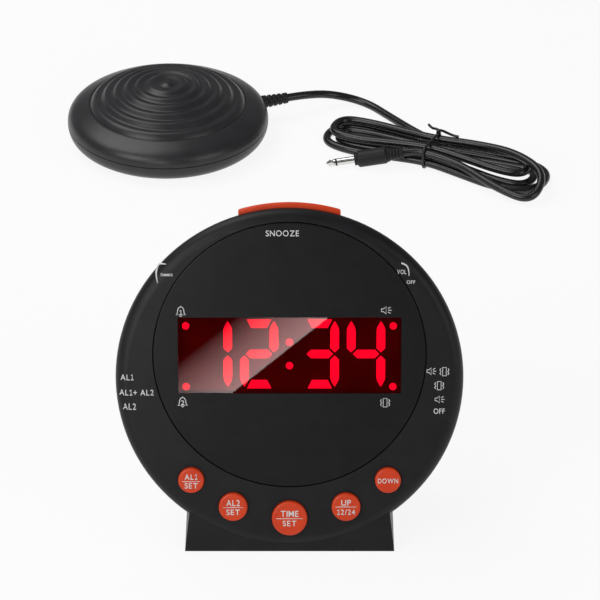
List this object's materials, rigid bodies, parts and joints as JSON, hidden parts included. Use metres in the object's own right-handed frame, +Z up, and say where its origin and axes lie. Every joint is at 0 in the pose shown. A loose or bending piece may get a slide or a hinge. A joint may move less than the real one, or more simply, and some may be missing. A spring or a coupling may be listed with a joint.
{
  "type": "bed shaker alarm clock",
  "caption": "Round black bedside alarm clock with a red LED display, orange set buttons and snooze bar, and a corded vibrating pad that wakes the sleeper.",
  "frame": {"origin": "middle of the clock's rubber sole, on the table that the clock and the pad share", "axes": "+Z up, -Y the way the clock faces, +X to the right of someone looking at the clock"},
  "size_m": [0.2386, 0.4049, 0.1398],
  "materials": {
    "black_abs": "fine textured black ABS",
    "orange_abs": "satin orange ABS",
    "red_acrylic": "clear dark red acrylic",
    "lit_red": "glowing red",
    "module_grey": "moulded dark grey",
    "circuit_board": "green solder mask",
    "silicone": "translucent grey silicone",
    "control_black": "black acetal",
    "component_black": "moulded black",
    "steel": "zinc plated",
    "ferrite": "sintered dark grey",
    "cone_paper": "black pressed paper",
    "cell_jacket": "plain printed jacket",
    "sole_rubber": "matte black rubber",
    "pad_abs": "fine textured black ABS",
    "weight_brass": "turned",
    "cord_pvc": "satin black PVC",
    "tie_pvc": "black PVC over wire",
    "plug_grip": "moulded black PVC",
    "nickel": "polished nickel"
  },
  "bodies": {
    "clock": {"front_housing": "black_abs", "rear_cover": "black_abs", "face_panel": "black_abs", "display_window": "red_acrylic", "led_module": "module_grey", "lit_segments": "lit_red", "display_board": "circuit_board", "key_board": "circuit_board", "key_mat": "silicone", "snooze_board": "circuit_board", "snooze_dome": "silicone", "main_board": "circuit_board", "dimmer_pot": "component_black", "volume_pot": "component_black", "alarm_select_switch": "component_black", "alarm_mode_switch": "component_black", "shaker_socket": "component_black", "power_inlet": "component_black", "speaker_frame": "steel", "speaker_cone": "cone_paper", "speaker_magnet": "ferrite", "battery_cells": "cell_jacket", "battery_contacts": "steel", "housing_screws": "steel", "board_screws": "steel", "base_plate": "black_abs", "sole": "sole_rubber", "base_screws": "steel"},
    "snooze": {"snooze_bar": "orange_abs"},
    "alarm_one_key": {"alarm_one_button": "orange_abs"},
    "alarm_two_key": {"alarm_two_button": "orange_abs"},
    "time_key": {"time_button": "orange_abs"},
    "up_key": {"up_button": "orange_abs"},
    "down_key": {"down_button": "orange_abs"},
    "dimmer": {"dimmer_wheel": "control_black"},
    "volume": {"volume_wheel": "control_black"},
    "alarm_select": {"alarm_select_knob": "control_black"},
    "alarm_mode": {"alarm_mode_knob": "control_black"},
    "door": {"battery_door": "black_abs"},
    "shaker": {"pad_top": "pad_abs", "pad_base": "pad_abs", "pad_screws": "steel", "motor": "steel", "motor_strap": "steel", "pad_strain_relief": "cord_pvc", "cord_lead": "cord_pvc", "cord_hank": "cord_pvc", "cord_tie": "tie_pvc", "plug_body": "plug_grip", "plug_sleeve": "nickel", "plug_ring": "plug_grip", "plug_tip": "nickel"},
    "spinner": {"motor_shaft": "steel", "eccentric_weight": "weight_brass"}
  },
  "joints": [
    {"name": "snooze_press", "type": "slide", "parent": "clock", "child": "snooze", "axis": [0, -0.309, -0.9511], "range_m": [0, 0.0018], "stiffness_N_per_m": 500, "springref_m": -0.001, "deforming": ["snooze_dome"]},
    {"name": "alarm_one_press", "type": "slide", "parent": "clock", "child": "alarm_one_key", "axis": [0, 0.9511, -0.309], "range_m": [0, 0.0012], "stiffness_N_per_m": 400, "springref_m": -0.0008, "deforming": ["key_mat"]},
    {"name": "alarm_two_press", "type": "slide", "parent": "clock", "child": "alarm_two_key", "axis": [0, 0.9511, -0.309], "range_m": [0, 0.0012], "stiffness_N_per_m": 400, "springref_m": -0.0008, "deforming": ["key_mat"]},
    {"name": "time_press", "type": "slide", "parent": "clock", "child": "time_key", "axis": [0, 0.9511, -0.309], "range_m": [0, 0.0012], "stiffness_N_per_m": 400, "springref_m": -0.0008, "deforming": ["key_mat"]},
    {"name": "up_press", "type": "slide", "parent": "clock", "child": "up_key", "axis": [0, 0.9511, -0.309], "range_m": [0, 0.0012], "stiffness_N_per_m": 400, "springref_m": -0.0008, "deforming": ["key_mat"]},
    {"name": "down_press", "type": "slide", "parent": "clock", "child": "down_key", "axis": [0, 0.9511, -0.309], "range_m": [0, 0.0012], "stiffness_N_per_m": 400, "springref_m": -0.0008, "deforming": ["key_mat"]},
    {"name": "dimmer_turn", "type": "hinge", "parent": "clock", "child": "dimmer", "pos_m": [-0.03887, 0.02381, 0.10169], "axis": [0, -0.9511, 0.309], "range_deg": [-135, 135]},
    {"name": "volume_turn", "type": "hinge", "parent": "clock", "child": "volume", "pos_m": [0.03887, 0.02381, 0.10169], "axis": [0, -0.9511, 0.309], "range_deg": [-135, 135]},
    {"name": "alarm_select_slide", "type": "slide", "parent": "clock", "child": "alarm_select", "axis": [0, 0.309, 0.9511], "range_m": [-0.004, 0.004]},
    {"name": "alarm_mode_slide", "type": "slide", "parent": "clock", "child": "alarm_mode", "axis": [0, 0.309, 0.9511], "range_m": [-0.012, 0]},
    {"name": "battery_door_tip", "type": "hinge", "parent": "clock", "child": "door", "pos_m": [0, 0.02489, 0.02283], "axis": [-1, 0, 0], "range_deg": [0, 70]},
    {"name": "shaker_lift", "type": "slide", "parent": "clock", "child": "shaker", "axis": [0, 0, 1], "range_m": [0, 0.15]},
    {"name": "motor_spin", "type": "hinge", "parent": "shaker", "child": "spinner", "pos_m": [-0.0665, 0.323, 0.0145], "axis": [1, 0, 0], "continuous": true}
  ]
}
